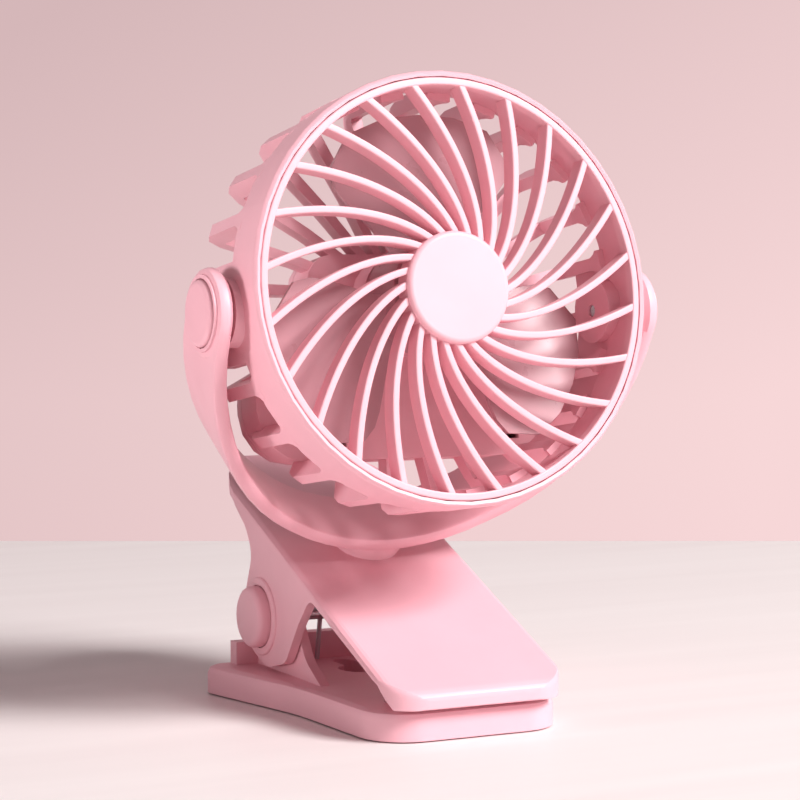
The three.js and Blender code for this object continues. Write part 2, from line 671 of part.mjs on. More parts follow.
const UNDER_PLATE = -SEAT_DEPTH - FIT;
const SWIVEL_HEAD_TOP = UNDER_PLATE - 1 - FIT;
const SWIVEL_HEAD_BOTTOM = UNDER_PLATE - 3.8;
const SWIVEL_TIP = YOKE_BOTTOM + YOKE_THICK - 1.4;
const swivelWasher = () => turnZ(
  tube(SWIVEL_SCREW_RADIUS + SCREW_LOOSE, SWIVEL_WASHER_RADIUS, UNDER_PLATE - 1, UNDER_PLATE));
const swivelScrew = () => turnZ([
  [0, SWIVEL_HEAD_BOTTOM],
  [SWIVEL_SCREW_HEAD, SWIVEL_HEAD_BOTTOM],
  [SWIVEL_SCREW_HEAD, SWIVEL_HEAD_TOP],
  [SWIVEL_SCREW_RADIUS, SWIVEL_HEAD_TOP],
  [SWIVEL_SCREW_RADIUS, SWIVEL_TIP],
  [0, SWIVEL_TIP],
]);

const tiltCap = () => {
  const floor = YOKE_HALF - CAP_RECESS + FIT;
  const face = YOKE_HALF + CAP_PROUD;
  const hollow = TILT_SCREW_HEAD + 1;
  return turnX([
    [0, floor + 1.2],
    [hollow, floor + 1.2],
    [hollow, floor],
    [CAP_RADIUS, floor],
    [CAP_RADIUS, face - 1],
    [CAP_RADIUS - 0.4, face - 0.4],
    [CAP_FACE_RADIUS, face],
    [0, face],
  ], MID_STEPS);
};

const BOSS_FACE = ARM_INNER - 1.4;
const tiltScrew = () => {
  const seat = YOKE_HALF - CAP_RECESS - 1 + FIT;
  const tip = WALL_INNER - 3.6;
  return turnX([
    [0, tip],
    [TILT_SCREW_RADIUS, tip],
    [TILT_SCREW_RADIUS, seat],
    [TILT_SCREW_HEAD, seat],
    [TILT_SCREW_HEAD, seat + 1.3],
    [0, seat + 1.3],
  ]);
};
const tiltWasher = () => turnX(
  tube(TILT_SCREW_RADIUS + SCREW_LOOSE, TILT_WASHER_RADIUS, BOSS_FACE + FIT, ARM_INNER - FIT));

// ---------------------------------------------------------------- drum, grille and rear cage

const WALL_INNER = DRUM_RADIUS - DRUM_WALL;

// A rib is flared where it leaves the band and grows slimmer toward the motor mount.
function ribWidth(run, straight, total) {
  const flare = Math.max(0, 1 - (run - 1.5) / 3);
  const slim = THREE.MathUtils.clamp((run - straight) / (total - straight), 0, 1);
  const plain = THREE.MathUtils.lerp(RIB_WIDTH, RIB_END_WIDTH, slim);
  return THREE.MathUtils.lerp(plain, RIB_ROOT_WIDTH, Math.min(1, flare * flare));
}

// One rear rib: forward along the drum's wall, round the rear corner, then in a swirl to the motor mount.
function rearRib(index) {
  const base = (RIB_PHASE + (360 / RIB_COUNT) * index) * DEG;
  const wallRadius = DRUM_RADIUS - RIB_DEPTH / 2 - 0.1;
  const rearDepth = CAGE_DEPTH - RIB_DEPTH / 2;
  const straight = rearDepth - RIB_TURN - (BAND_DEPTH - 1.5);
  const corner = (Math.PI / 2) * RIB_TURN;
  const innerRadius = MOUNT_RADIUS - 2;
  const inward = wallRadius - RIB_TURN - innerRadius;
  const total = straight + corner + inward;
  const cuts = [0, 1.5, 2.5, 4.5, straight, straight + corner / 2, straight + corner];
  const swirlSteps = 2;
  for (let k = 1; k <= swirlSteps; k++) cuts.push(straight + corner + (inward * k) / swirlSteps);
  const steps = cuts.length - 1;
  const along = (s) => cuts[Math.round(s * steps)];
  return bar(steps, (s, a, b) => {
    const run = along(s);
    const across = a * ribWidth(run, straight, total);
    const lift = b * RIB_DEPTH;
    if (run <= straight) return polar(wallRadius, base, BAND_DEPTH - 1.5 + run, across, lift);
    if (run <= straight + corner) {
      const bend = (run - straight) / RIB_TURN;
      const radius = wallRadius - RIB_TURN + (RIB_TURN + lift) * Math.cos(bend);
      return polar(radius, base, rearDepth - RIB_TURN + (RIB_TURN + lift) * Math.sin(bend), across);
    }
    const radius = wallRadius - RIB_TURN - Math.min(run - straight - corner, total);
    const swirl = RIB_SWIRL * DEG;
    const turn = base + swirl * Math.log(radius / (wallRadius - RIB_TURN));
    const slant = Math.hypot(1, swirl * Math.min(1, (run - straight - corner) / 6));
    const lean = swirl * Math.min(1, (run - straight - corner) / 6);
    return polar(radius, turn, rearDepth + lift, across / slant, (-across * lean) / slant);
  });
}

// Outline of the pod, or of its hollow when drawn in by its wall.
function podOutline(inset = 0) {
  const half = [
    [POD_HALF - inset, POD_BOTTOM + inset, POD_RADIUS - inset],
    [POD_HALF - inset, POD_SHOULDER - inset, NECK_RADIUS - inset],
    [NECK_HALF - inset, NECK_BOTTOM - inset, NECK_RADIUS + inset],
    [NECK_HALF - inset, POD_TOP - inset, NECK_RADIUS - inset],
  ];
  return outline([...half, ...half.map(([x, y, radius]) => [-x, y, radius]).reverse()], 4);
}

const podHollow = (front, rear) => prismY(podOutline(POD_WALL), front, rear);

const SOCKET = { width: 9, height: 3.3, length: 7.4, wall: 0.4 };

function socketSlot() {
  const back = BOARD_FRONT + BOARD_THICK + FIT;
  return new THREE.BoxGeometry(10, SOCKET.height + 2 * FIT, SOCKET.width + 2 * FIT)
    .translate(NECK_HALF, back + SOCKET.height / 2, SOCKET_HEIGHT);
}

function drumHousing() {
  const rimStep = GRILLE_THICK + FIT;
  const band = turnY([
    [SEAM_RADIUS, 0],
    [DRUM_RADIUS - 0.9, -0.2],
    [DRUM_RADIUS - 0.2, 0.4],
    [DRUM_RADIUS, 1.3],
    [DRUM_RADIUS, BAND_DEPTH],
    [WALL_INNER, BAND_DEPTH],
    [WALL_INNER, rimStep],
    [SEAM_RADIUS, rimStep],
    [SEAM_RADIUS, 0],
  ], ROUND_STEPS);
  const ribs = Array.from({ length: RIB_COUNT }, (_, k) => rearRib(k));
  const sidePad = overlapOf(
    turnY(tube(WALL_INNER, DRUM_RADIUS, BAND_DEPTH - 1, TILT_BACK + 13), ROUND_STEPS),
    new THREE.BoxGeometry(20, 60, 26).translate(DRUM_RADIUS, TILT_BACK, -TILT_DROP),
  );
  const boss = turnX(rod(BOSS_RADIUS, WALL_INNER - 4, BOSS_FACE), MID_STEPS)
    .translate(0, TILT_BACK, -TILT_DROP);
  const bossBore = turnX(rod(TILT_SCREW_RADIUS + SCREW_LOOSE, WALL_INNER - 4.6, BOSS_FACE + 1))
    .translate(0, TILT_BACK, -TILT_DROP);
  const mount = turnY(rod(MOUNT_RADIUS, CAGE_DEPTH - RIB_DEPTH, CAGE_DEPTH), MID_STEPS);
  const cup = turnY(
    tube(MOTOR_RADIUS + FIT, MOTOR_CUP_RADIUS, MOTOR_REAR - 7, CAGE_DEPTH - RIB_DEPTH + 1), MID_STEPS);
  const inPod = podHollow(POD_FRONT + POD_WALL, POD_SPLIT + 1);
  const tray = cut(prismY(podOutline(), POD_FRONT, POD_SPLIT), inPod);
  const post = (radius, x, z, end) => turnY(rod(radius, POD_FRONT + 1, end)).translate(x, 0, z);
  const sides = [-1, 1];
  const screw = COVER_SCREW;
  const screwPosts = sides.map((side) => post(screw.post, side * screw.x, screw.z, POD_SPLIT));
  const screwBore = turnY(rod(screw.radius + SCREW_LOOSE, POD_SPLIT - 7, POD_SPLIT + 1));
  const screwHoles = sides.map((side) => screwBore.clone().translate(side * screw.x, 0, screw.z));
  const standOffs = sides.map((side) => (
    post(STANDOFF_RADIUS, side * STANDOFF_X, BOARD_BOTTOM + 4, BOARD_FRONT - FIT)));
  const both = (geometry) => [geometry, mirrored(geometry)];
  return cut(
    join(
      cut(join(band, ...ribs, mount), inPod),
      ...both(sidePad),
      ...both(boss),
      cup,
      tray,
      ...screwPosts,
      ...standOffs,
    ),
    ...both(bossBore),
    ...screwHoles,
    turnY(rod(MOTOR_RADIUS + FIT, MOTOR_REAR - 9, MOTOR_REAR + FIT), MID_STEPS),
    turnY(rod(6, MOTOR_REAR, CAGE_DEPTH + 3)),
    socketSlot(),
    ...POD_VENTS.map(([x, z, width, height]) => (
      new THREE.BoxGeometry(width, 6, height).translate(x, POD_FRONT, z))),
  );
}

function grille() {
  const ring = turnY(tube(SEAM_RADIUS - FIT - GRILLE_RING, SEAM_RADIUS - FIT, 0, GRILLE_THICK), ROUND_STEPS);
  const swirl = SPOKE_SWIRL * DEG;
  const slant = Math.hypot(1, swirl);
  const [inner, outer] = [CAP_DISC_RADIUS - 3, SEAM_RADIUS - FIT - GRILLE_RING + 0.6];
  const spokes = Array.from({ length: SPOKE_COUNT }, (_, k) => bar(5, (s, a, b) => {
    const radius = inner * Math.pow(outer / inner, s);
    const turn = (SPOKE_PHASE + (360 / SPOKE_COUNT) * k) * DEG + swirl * Math.log(radius / SPOKE_REFERENCE);
    const across = a * SPOKE_WIDTH;
    return polar(radius, turn, 0.2 + SPOKE_DEPTH * (b + 0.5), across / slant, (-across * swirl) / slant);
  }));
  const cap = turnY([
    [0, -CAP_DISC_PROUD],
    [CAP_DISC_RADIUS - CAP_DISC_BEVEL, -CAP_DISC_PROUD],
    [CAP_DISC_RADIUS - 0.5, -CAP_DISC_PROUD + 0.5],
    [CAP_DISC_RADIUS, -CAP_DISC_PROUD + CAP_DISC_BEVEL],
    [CAP_DISC_RADIUS, SPOKE_DEPTH],
    [0, SPOKE_DEPTH],
  ], 40);
  return join(ring, cap, ...spokes);
}

// ---------------------------------------------------------------- motor and rotor

const motorCan = () => turnY([[SHAFT_RADIUS + FIT, MOTOR_FRONT], [MOTOR_RADIUS - 1, MOTOR_FRONT],
  [MOTOR_RADIUS, MOTOR_FRONT + 1], [MOTOR_RADIUS, MOTOR_REAR - 3], [SHAFT_RADIUS + FIT, MOTOR_REAR - 3],
  [SHAFT_RADIUS + FIT, MOTOR_FRONT]], MID_STEPS);
const motorEnd = () => turnY(rod(MOTOR_RADIUS - 0.4, MOTOR_REAR - 3 + FIT, MOTOR_REAR), MID_STEPS);
const motorShaft = () => turnY(rod(SHAFT_RADIUS, ROTOR_FRONT + 1.2, MOTOR_REAR - 6));

// A broad petal: its width grows from the hub, its tip is rounded, and one edge stands behind the other.
function blade(index) {
  const middle = (BLADE_PHASE + (360 / BLADE_COUNT) * index) * DEG;
  const root = ROTOR_HUB_RADIUS - 1;
  return bar(6, (s, a, b) => {
    const corner = Math.pow(Math.abs(2 * a), 5);
    const tip = root + (BLADE_TIP - root) * (1 - 0.2 * corner);
    const radius = root + (tip - root) * s;
    const span = THREE.MathUtils.lerp(BLADE_SPAN_ROOT, BLADE_SPAN, Math.sin((s * Math.PI) / 2)) * DEG;
    const turn = middle + a * span * (1 - 0.1 * Math.pow(s, 6));
    const camber = (0.25 - a * a) * 5 * s;
    return polar(radius, turn, BLADE_MID + a * BLADE_RISE - camber + b * BLADE_THICK);
  }, 6);
}

function fanRotor() {
  const hub = turnY([
    [0, ROTOR_FRONT], [ROTOR_HUB_RADIUS - 3, ROTOR_FRONT], [ROTOR_HUB_RADIUS - 0.8, ROTOR_FRONT + 0.9],
    [ROTOR_HUB_RADIUS, ROTOR_FRONT + 3], [ROTOR_HUB_RADIUS, ROTOR_REAR],
    [ROTOR_HUB_RADIUS - ROTOR_WALL, ROTOR_REAR], [ROTOR_HUB_RADIUS - ROTOR_WALL, ROTOR_FRONT + 2.6],
    [3, ROTOR_FRONT + 2.6], [3, MOTOR_FRONT - 1], [0, MOTOR_FRONT - 1],
  ], MID_STEPS);
  const blades = Array.from({ length: BLADE_COUNT }, (_, k) => blade(k));
  const inside = turnY(rod(ROTOR_HUB_RADIUS - ROTOR_WALL, ROTOR_FRONT + 2.6, THROUGH), MID_STEPS);
  const post = turnY(rod(3, ROTOR_FRONT + 1, MOTOR_FRONT - 1));
  const shaftHole = turnY(rod(SHAFT_RADIUS + 0.1, ROTOR_FRONT + 1.1, THROUGH));
  return cut(join(cut(join(hub, ...blades), inside), post), shaftHole);
}

// ---------------------------------------------------------------- rear pod

const COVER_FRONT = POD_SPLIT + FIT;
const COVER_EDGE = 2.4;
const COVER_SCREW = { x: 19.5, z: 8.4, radius: 1.2, head: 2.4, post: 3 };

function rearCover() {
  const shell = cut(
    prismY(podOutline(), COVER_FRONT - 4, POD_REAR, COVER_EDGE),
    new THREE.BoxGeometry(120, 20, 120).translate(0, COVER_FRONT - 10, 0),
    podHollow(COVER_FRONT - 6, POD_REAR - POD_WALL - COVER_EDGE),
    prismY(podOutline(POD_WALL + COVER_EDGE), COVER_FRONT - 6, POD_REAR - POD_WALL),
  );
  const hole = (radius, x, z, y0, y1) => turnY(rod(radius, y0, y1)).translate(x, 0, z);
  const { x, z, radius, head, post } = COVER_SCREW;
  const posts = [-x, x].map((side) => hole(post + 0.6, side, z, COVER_FRONT, POD_REAR - 0.5));
  return cut(
    join(shell, ...posts),
    hole(KEY_RADIUS + FIT, 0, SWITCH_HEIGHT, POD_REAR - 6, POD_REAR + 2),
    hole(LED_RADIUS + FIT, LED_X, SWITCH_HEIGHT, POD_REAR - 6, POD_REAR + 2),
    ...[-x, x].map((side) => hole(radius + SCREW_LOOSE, side, z, COVER_FRONT - 2, POD_REAR + 2)),
    ...[-x, x].map((side) => hole(head + SCREW_LOOSE, side, z, POD_REAR - 2.6, POD_REAR + 2)),
    socketSlot(),
  );
}

function coverScrew(side) {
  const { x, z, radius, head } = COVER_SCREW;
  const seat = POD_REAR - 2.6 + FIT;
  const tip = POD_SPLIT - 6.5;
  return turnY([[0, tip], [radius, tip], [radius, seat], [head, seat],
    [head, seat + 1.6], [0, seat + 1.6]]).translate(side * x, 0, z);
}

const BOARD_BACK = BOARD_FRONT + BOARD_THICK;
const circuitBoard = () => prismY(rectangle(-BOARD_HALF, BOARD_BOTTOM, BOARD_HALF, BOARD_TOP, 2, 3),
  BOARD_FRONT, BOARD_BACK);

const KEY_FRONT = POD_REAR - POD_WALL - 2;             // front face of the key's flange
const PLUNGER_TOP = KEY_FRONT - KEY_TRAVEL_GAP - FIT;

const switchBody = () => join(
  new THREE.BoxGeometry(6, 3, 6).translate(0, BOARD_BACK + FIT + 1.5, SWITCH_HEIGHT),
  turnY(rod(1.7, BOARD_BACK + 2, PLUNGER_TOP)).translate(0, 0, SWITCH_HEIGHT),
);

const powerButton = () => turnY([
  [0, KEY_FRONT], [KEY_RADIUS + 1.6, KEY_FRONT], [KEY_RADIUS + 1.6, POD_REAR - POD_WALL - FIT],
  [KEY_RADIUS, POD_REAR - POD_WALL - FIT], [KEY_RADIUS, POD_REAR + KEY_PROUD - 0.5],
  [KEY_RADIUS - 0.5, POD_REAR + KEY_PROUD], [0, POD_REAR + KEY_PROUD],
], MID_STEPS).translate(0, 0, SWITCH_HEIGHT);

const indicator = () => turnY(rod(LED_RADIUS, BOARD_BACK + FIT, POD_REAR + 0.2))
  .translate(LED_X, 0, SWITCH_HEIGHT);

function usbSocket() {
  const { width, height, length, wall } = SOCKET;
  const [halfHeight, halfWidth] = [height / 2, width / 2];
  const end = NECK_HALF - 0.4;
  const middle = BOARD_BACK + FIT + halfHeight;
  const inner = [halfHeight - wall, halfWidth - wall];
  const profile = rectangle(-halfHeight, -halfWidth, halfHeight, halfWidth, halfHeight - 0.1, 4);
  const hollow = rectangle(-inner[0], -inner[1], ...inner, halfHeight - 0.1 - wall, 4);
  const tongue = new THREE.BoxGeometry(length - 2, 0.7, width - 3).translate(end - length / 2 - 0.6, 0, 0);
  return join(cut(prismX(profile, end - length, end), prismX(hollow, end - length + 1, end + 1)), tongue)
    .translate(0, middle, SOCKET_HEIGHT);
}

const TAPE_FRONT = POD_FRONT + POD_WALL + FIT;
const CELL_FRONT = TAPE_FRONT + TAPE_THICK + FIT;
const CELL_MIDDLE = CELL_BOTTOM + CELL_HEIGHT / 2;

const cell = () => prismY(rectangle(CELL_X - CELL_WIDTH / 2, CELL_BOTTOM, CELL_X + CELL_WIDTH / 2,
  CELL_BOTTOM + CELL_HEIGHT, 2.5, 3), CELL_FRONT, CELL_FRONT + CELL_THICK, 1.2);
const cellTape = () => new THREE.BoxGeometry(CELL_WIDTH - 12, TAPE_THICK, CELL_HEIGHT - 6)
  .translate(CELL_X, TAPE_FRONT + TAPE_THICK / 2, CELL_MIDDLE);

// An insulated lead between two points.
function lead(from, to) {
  const extrudePath = new THREE.CatmullRomCurve3([from, from.clone().lerp(to, 0.5), to]);
  const options = { steps: 8, extrudePath, bevelEnabled: false };
  return new THREE.ExtrudeGeometry(disc(LEAD_RADIUS, 0, 0, 6), options);
}

const cellTab = (x) => V3(x, CELL_FRONT + CELL_THICK / 2, CELL_BOTTOM + CELL_HEIGHT + 0.5);
const boardPad = (x) => V3(x, CELL_FRONT + CELL_THICK / 2, BOARD_BOTTOM - 0.5);
const cellLead = (x) => lead(cellTab(x), boardPad(x));
const motorLead = (x) => lead(V3(x, MOTOR_REAR + 0.8, 0), V3(x, BOARD_FRONT - 0.4, -1));

// ---------------------------------------------------------------- assembly

const pink = (roughness = 0.42) => plastic(PINK, roughness);
const model = new THREE.Group();

model.add(
  piece('base_plate', basePlate(), pink()),
  piece('base_pad', basePad(), plastic(GRIP, 0.8)),
  ...FOOT_SPANS.map((span, k) => piece(`foot_pad_${k + 1}`, footPad(span), plastic(0xd98b9c, 0.9))),
  piece('clip_pin', clipPin(), metal(STEEL, 0.3), V3(0, HINGE_Y, HINGE_Z)),
  piece('clip_spring', clipSpring(), metal(0x9aa0a8, 0.35), V3(0, HINGE_Y, HINGE_Z)),
);

const jaw = new THREE.Group();
jaw.position.set(0, HINGE_Y, HINGE_Z);
jaw.add(
  piece('upper_jaw', upperJaw(), pink()),
  piece('jaw_pad', jawPad(), plastic(GRIP, 0.8)),
  piece('hinge_button_right', hingeButton(), pink(0.38)),
  piece('hinge_button_left', mirrored(hingeButton()), pink(0.38)),
);
model.add(jaw);

const turret = new THREE.Group();
turret.position.set(0, onPlate(HUB_P, PLATE_TOP).x, onPlate(HUB_P, PLATE_TOP).y);
turret.rotation.x = SWIVEL_LEAN * DEG;
const armPoint = V3(0, 0, TILT_HEIGHT);
turret.add(
  piece('yoke', yoke(), pink()),
  piece('swivel_screw', swivelScrew(), metal(STEEL, 0.3)),
  piece('swivel_washer', swivelWasher(), metal(0xc9ccd0, 0.35)),
  piece('tilt_cap_right', tiltCap(), pink(0.38), armPoint),
  piece('tilt_cap_left', mirrored(tiltCap()), pink(0.38), armPoint),
);
jaw.add(turret);

const head = new THREE.Group();
head.position.copy(armPoint);
head.rotation.x = -(SWIVEL_LEAN + HEAD_TILT) * DEG;
head.add(
  piece('tilt_screw_right', tiltScrew(), metal(STEEL, 0.3)),
  piece('tilt_screw_left', mirrored(tiltScrew()), metal(STEEL, 0.3)),
  piece('tilt_washer_right', tiltWasher(), plastic(WHITE, 0.6)),
  piece('tilt_washer_left', mirrored(tiltWasher()), plastic(WHITE, 0.6)),
);
turret.add(head);

const drum = new THREE.Group();
drum.position.set(0, -TILT_BACK, TILT_DROP);
drum.add(
  piece('drum_housing', drumHousing(), pink()),
  piece('front_grille', grille(), plastic(PALE, 0.4)),
  piece('motor_can', motorCan(), metal(0xaeb2b8, 0.35)),
  piece('motor_end', motorEnd(), plastic(0x2c2c30, 0.6)),
  piece('motor_shaft', motorShaft(), metal(0xc4c7cc, 0.25)),
  piece('fan_rotor', fanRotor(), plastic(PINK, 0.35)),
  piece('rear_cover', rearCover(), pink()),
  piece('cover_screw_left', coverScrew(-1), metal(STEEL, 0.3)),
  piece('cover_screw_right', coverScrew(1), metal(STEEL, 0.3)),
  piece('circuit_board', circuitBoard(), plastic(0x1f6b45, 0.5)),
  piece('power_switch', switchBody(), plastic(0x222226, 0.5)),
  piece('power_button', powerButton(), plastic(PALE, 0.4)),
  piece('indicator_lens', indicator(), plastic(0xf4f4f4, 0.3)),
  piece('usb_socket', usbSocket(), metal(0xc6c8cc, 0.3)),
  piece('battery_cell', cell(), metal(0xb8bbc2, 0.4)),
  piece('cell_tape', cellTape(), plastic(0xf0ead8, 0.9)),
  piece('cell_lead_red', cellLead(-CELL_LEAD_X), plastic(RED, 0.6)),
  piece('cell_lead_black', cellLead(CELL_LEAD_X), plastic(BLACK, 0.6)),
  piece('motor_lead_red', motorLead(-MOTOR_LEAD_X), plastic(RED, 0.6)),
  piece('motor_lead_black', motorLead(MOTOR_LEAD_X), plastic(BLACK, 0.6)),
);
head.add(drum);

export default model;
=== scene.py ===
"""Looks of a pink clip fan: materials, edge rounding, small moulded detail, a pale table and studio light.

Metres, +Z up. The fan looks toward -Y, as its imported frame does.
"""

import json
import math

import bmesh
import bpy
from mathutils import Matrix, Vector


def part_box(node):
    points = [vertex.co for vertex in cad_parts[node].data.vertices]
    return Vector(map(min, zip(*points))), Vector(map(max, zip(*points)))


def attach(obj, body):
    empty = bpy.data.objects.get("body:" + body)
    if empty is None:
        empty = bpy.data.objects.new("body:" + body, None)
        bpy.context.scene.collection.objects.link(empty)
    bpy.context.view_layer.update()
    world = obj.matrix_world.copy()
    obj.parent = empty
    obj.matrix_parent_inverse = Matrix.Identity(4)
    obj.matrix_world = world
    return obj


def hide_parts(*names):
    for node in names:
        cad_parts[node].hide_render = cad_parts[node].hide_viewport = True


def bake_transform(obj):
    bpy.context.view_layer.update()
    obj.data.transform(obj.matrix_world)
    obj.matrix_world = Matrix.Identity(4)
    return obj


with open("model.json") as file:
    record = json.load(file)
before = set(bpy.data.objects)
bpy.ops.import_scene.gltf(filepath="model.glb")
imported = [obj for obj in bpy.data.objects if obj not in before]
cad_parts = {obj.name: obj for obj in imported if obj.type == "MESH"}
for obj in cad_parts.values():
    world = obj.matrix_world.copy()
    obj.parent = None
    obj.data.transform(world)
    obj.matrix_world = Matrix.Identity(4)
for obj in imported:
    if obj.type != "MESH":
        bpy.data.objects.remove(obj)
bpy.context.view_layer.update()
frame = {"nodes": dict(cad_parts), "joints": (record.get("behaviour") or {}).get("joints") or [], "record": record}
NODES = frame["nodes"]
JOINTS = {joint["name"]: joint for joint in frame["joints"]}

# ---------------------------------------------------------------- camera

IMAGE_SIDE = 800                                # pixels, square
FOCAL_PIXELS = 2306
SENSOR = 36                                     # millimetres
CAMERA_AT = Vector((-0.2846, -0.5671, 0.1186))
CAMERA_AZIMUTH = math.radians(-26.77)
CAMERA_ELEVATION = math.radians(3.0)
NEAREST_SEEN = 0.01
FARTHEST_SEEN = 50                              # metres, as all sizes without a unit here
UP = Vector((0, 0, 1))


def camera_axes():
    """Back, right and up vectors of the camera."""
    azimuth, elevation = CAMERA_AZIMUTH, CAMERA_ELEVATION
    level = math.cos(elevation)
    back = Vector((math.sin(azimuth) * level, -math.cos(azimuth) * level, math.sin(elevation)))
    right = UP.cross(back).normalized()
    return back, right, back.cross(right)


CAMERA_BACK, CAMERA_RIGHT, CAMERA_UP = camera_axes()
TOWARD_CAMERA = Vector((CAMERA_BACK.x, CAMERA_BACK.y, 0)).normalized()     # level with the table


def make_camera():
    data = bpy.data.cameras.new("camera")
    data.sensor_width = SENSOR
    data.lens = FOCAL_PIXELS / IMAGE_SIDE * SENSOR
    data.clip_start = NEAREST_SEEN
    data.clip_end = FARTHEST_SEEN
    camera = bpy.data.objects.new("camera", data)
    camera.location = CAMERA_AT
    camera.rotation_euler = CAMERA_BACK.to_track_quat("Z", "Y").to_euler()
    bpy.context.scene.collection.objects.link(camera)
    bpy.context.scene.camera = camera


# ---------------------------------------------------------------- colours

def linear(*rgb):
    """An sRGB colour, 0 to 255, as linear RGBA."""
    def channel(value):
        value /= 255
        return value / 12.92 if value <= 0.04045 else ((value + 0.055) / 1.055) ** 2.4
    return (*map(channel, rgb), 1)


def shade(rgba, factor):
    """A linear colour made darker or lighter."""
    return (*(channel * factor for channel in rgba[:3]), 1)


# ---------------------------------------------------------------- material nodes

PATTERN_LOW, PATTERN_HIGH = 0.3, 0.7            # nearly all of a noise lies between these


class Graph:
    """A material's node tree with short helpers for procedural detail; a pattern is a node's output."""

    def __init__(self, name):
        self.material = bpy.data.materials.new(name)
        self.material.use_nodes = True
        self.tree = self.material.node_tree
        self.shader = self.tree.nodes["Principled BSDF"]
        self.place = self.tree.nodes.new("ShaderNodeTexCoord").outputs["Object"]

    def link(self, source, target):
        self.tree.links.new(source, target)

    def stretched(self, scale):
        """The object's own coordinates, scaled along each axis."""
        node = self.tree.nodes.new("ShaderNodeMapping")
        node.inputs["Scale"].default_value = scale
        self.link(self.place, node.inputs["Vector"])
        return node.outputs["Vector"]

    def noise(self, scale, detail=2, roughness=0.5, place=None):
        """A cloudy pattern."""
        node = self.tree.nodes.new("ShaderNodeTexNoise")
        node.inputs["Scale"].default_value = scale
        node.inputs["Detail"].default_value = detail
        node.inputs["Roughness"].default_value = roughness
        self.link(place or self.place, node.inputs["Vector"])
        return node.outputs["Fac"]

    def cells(self, scale):
        """A pattern of small cells."""
        node = self.tree.nodes.new("ShaderNodeTexVoronoi")
        node.inputs["Scale"].default_value = scale
        self.link(self.place, node.inputs["Vector"])
        return node.outputs["Distance"]

    def colour(self, pattern, low, high, start=PATTERN_LOW, end=PATTERN_HIGH):
        """Base colour that goes from low to high while the pattern goes from start to end."""
        node = self.tree.nodes.new("ShaderNodeValToRGB")
        node.color_ramp.elements[0].position = start
        node.color_ramp.elements[0].color = low
        node.color_ramp.elements[1].position = end
        node.color_ramp.elements[1].color = high
        self.link(pattern, node.inputs["Fac"])
        self.link(node.outputs["Color"], self.shader.inputs["Base Color"])

    def gloss(self, pattern, low, high):
        """Roughness that follows the pattern between low and high."""
        node = self.tree.nodes.new("ShaderNodeMapRange")
        node.inputs["From Min"].default_value = PATTERN_LOW
        node.inputs["From Max"].default_value = PATTERN_HIGH
        node.inputs["To Min"].default_value = low
        node.inputs["To Max"].default_value = high
        self.link(pattern, node.inputs["Value"])
        self.link(node.outputs["Result"], self.shader.inputs["Roughness"])

    def bump(self, pattern, strength, height):
        """Fine relief of that height in metres."""
        node = self.tree.nodes.new("ShaderNodeBump")
        node.inputs["Strength"].default_value = strength
        node.inputs["Distance"].default_value = height
        self.link(pattern, node.inputs["Height"])
        self.link(node.outputs["Normal"], self.shader.inputs["Normal"])

    def set(self, **values):
        """Constants on the shader's own sockets, named with underscores for spaces."""
        for name, value in values.items():
            self.shader.inputs[name.replace("_", " ")].default_value = value
        return self


# ---------------------------------------------------------------- materials

def satin_plastic(name, colour, rough):
    """Moulded plastic: a fine spark-eroded grain, faint cloudiness and slightly uneven gloss."""
    graph = Graph(name)
    graph.colour(graph.noise(scale=55, detail=3), shade(colour, 0.975), shade(colour, 1.02))
    graph.gloss(graph.noise(scale=140, detail=4), low=rough - 0.035, high=rough + 0.045)
    graph.bump(graph.noise(scale=5200, roughness=0.6), strength=0.22, height=0.00003)
    return graph.set(Specular_IOR_Level=0.45).material


def rubber(name, colour):
    """Matt rubber or insulation with a pebbled surface."""
    graph = Graph(name)
    graph.colour(graph.noise(scale=300, detail=4), shade(colour, 0.9), colour)
    graph.gloss(graph.noise(scale=500, detail=3), low=0.72, high=0.88)
    graph.bump(graph.cells(scale=2600), strength=0.4, height=0.00008)
    return graph.set(Specular_IOR_Level=0.3).material


def steel(name, colour, rough):
    """Turned steel with fine lines across its axis."""
    graph = Graph(name)
    lines = graph.noise(scale=1, detail=6, roughness=0.7, place=graph.stretched((9000, 400, 400)))
    graph.colour(lines, shade(colour, 0.85), colour)
    graph.gloss(lines, low=rough - 0.06, high=rough + 0.1)
    graph.bump(lines, strength=0.15, height=0.00002)
    return graph.set(Metallic=1).material


def foil(name, colour):
    """The creased metal foil of a pouch cell."""
    graph = Graph(name)
    creases = graph.noise(scale=160, detail=6, roughness=0.65)
    # darker where the creases sink: painted shade in their hollows
    graph.colour(creases, shade(colour, 0.8), colour)
    graph.gloss(creases, low=0.25, high=0.45)
    graph.bump(creases, strength=0.5, height=0.0004)
    return graph.set(Metallic=1).material


def foam(name, colour):
    """Open-celled foam tape."""
    graph = Graph(name)
    # darker at the sunken middle of each cell: painted shade in the pores
    graph.colour(graph.cells(scale=1800), shade(colour, 0.8), colour, start=0, end=0.6)
    graph.gloss(graph.noise(scale=400), low=0.85, high=0.95)
    graph.bump(graph.cells(scale=1800), strength=0.8, height=0.0002)
    return graph.material


def board(name, colour):
    """Solder mask with a net of paler lines."""
    graph = Graph(name)
    runs = graph.tree.nodes.new("ShaderNodeTexBrick")
    runs.inputs["Scale"].default_value = 260
    runs.inputs["Color1"].default_value = colour
    runs.inputs["Color2"].default_value = shade(colour, 0.8)
    runs.inputs["Mortar"].default_value = shade(colour, 1.5)
    graph.link(graph.place, runs.inputs["Vector"])
    graph.link(runs.outputs["Color"], graph.shader.inputs["Base Color"])
    graph.gloss(graph.noise(scale=300), low=0.3, high=0.42)
    graph.bump(runs.outputs["Fac"], strength=0.3, height=0.00005)
    return graph.material


